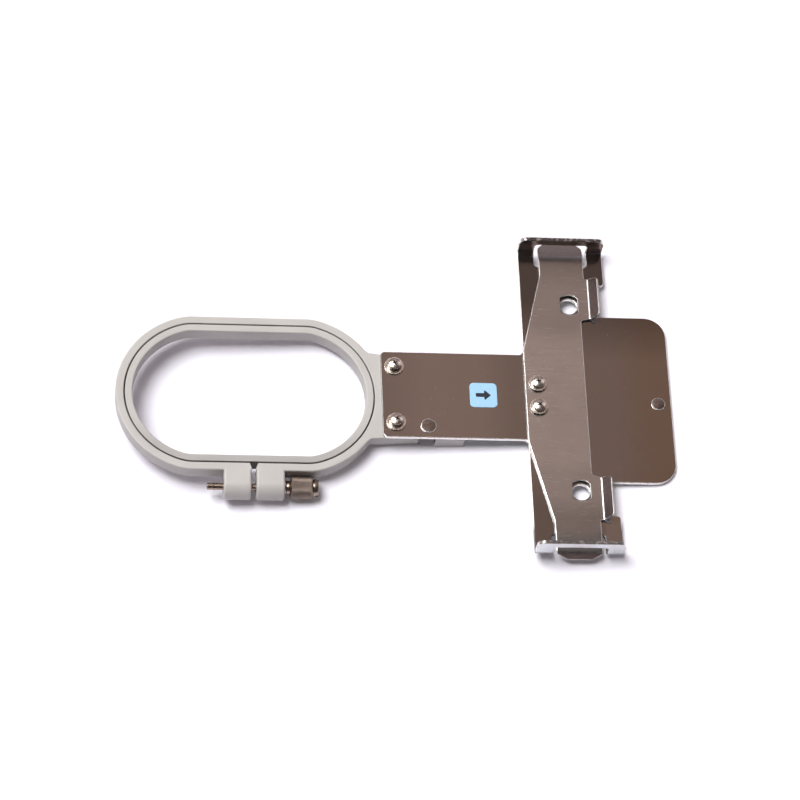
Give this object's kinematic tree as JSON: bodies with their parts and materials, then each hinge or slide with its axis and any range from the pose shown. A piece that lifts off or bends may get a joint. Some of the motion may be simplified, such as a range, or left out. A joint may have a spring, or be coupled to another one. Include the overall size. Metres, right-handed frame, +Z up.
{
  "type": "machine embroidery hoop",
  "caption": "Oval embroidery hoop with a lift-out inner ring and clamp screw, carried on a cross-shaped steel plate with a leaf-spring clip for the machine's carriage.",
  "frame": {"origin": "on the carrier's top face, on the arm's centreline, at the tongue's seat 22 mm towards the tongue from the line of the two locating holes", "axes": "+X from the hoop towards the tongue, +Z up out of the plate's top face, +Y away from the clamp screw"},
  "size_m": [0.2314, 0.1486, 0.0219],
  "materials": {
    "carrier_steel": "polished sheet steel with fine scratches",
    "spring_steel": "brushed along its length",
    "hoop_plastic": "satin moulded plastic",
    "clamp_metal": "plated, with a knurled head",
    "bright_metal": "bright plating",
    "insert_brass": "turned",
    "label_film": "printed film"
  },
  "bodies": {
    "carrier": {"carrier_plate": "carrier_steel", "outer_hoop": "hoop_plastic", "clamp_nut": "bright_metal", "hoop_screw_far": "bright_metal", "hoop_screw_near": "bright_metal", "hoop_lock_washer_far": "bright_metal", "hoop_lock_washer_near": "bright_metal", "hoop_flat_washer_far": "bright_metal", "hoop_flat_washer_near": "bright_metal", "hoop_insert_far": "insert_brass", "hoop_insert_near": "insert_brass", "spring_screw_far": "bright_metal", "spring_screw_near": "bright_metal", "spring_washer_far": "bright_metal", "spring_washer_near": "bright_metal", "clinch_nut_far": "bright_metal", "clinch_nut_near": "bright_metal", "locating_pin": "carrier_steel", "tongue_pin": "carrier_steel", "size_label": "label_film"},
    "inner_ring": {"inner_hoop": "hoop_plastic"},
    "clip": {"spring_plate": "spring_steel"},
    "clamp_slide": {"thrust_washer": "bright_metal"},
    "clamp_screw": {"thumb_screw": "clamp_metal"}
  },
  "joints": [
    {"name": "inner_hoop_lift", "type": "slide", "parent": "carrier", "child": "inner_ring", "axis": [0, 0, 1], "range_m": [0, 0.015]},
    {"name": "clip_flex", "type": "hinge", "parent": "carrier", "child": "clip", "pos_m": [-0.0428, 0, 0.0003], "axis": [0, -1, 0], "range_deg": [0, 2.5], "stiffness_Nm_per_rad": 6},
    {"name": "clamp_travel", "type": "slide", "parent": "carrier", "child": "clamp_slide", "axis": [1, 0, 0], "range_m": [0, 0.006]},
    {"name": "clamp_turn", "type": "hinge", "parent": "clamp_slide", "child": "clamp_screw", "pos_m": [-0.1424, -0.04078, -0.007], "axis": [1, 0, 0], "range_deg": [0, 4320]}
  ],
  "couplings": [
    {"joint": "clamp_turn", "follows": "clamp_travel", "rad_per_m": 12566}
  ]
}
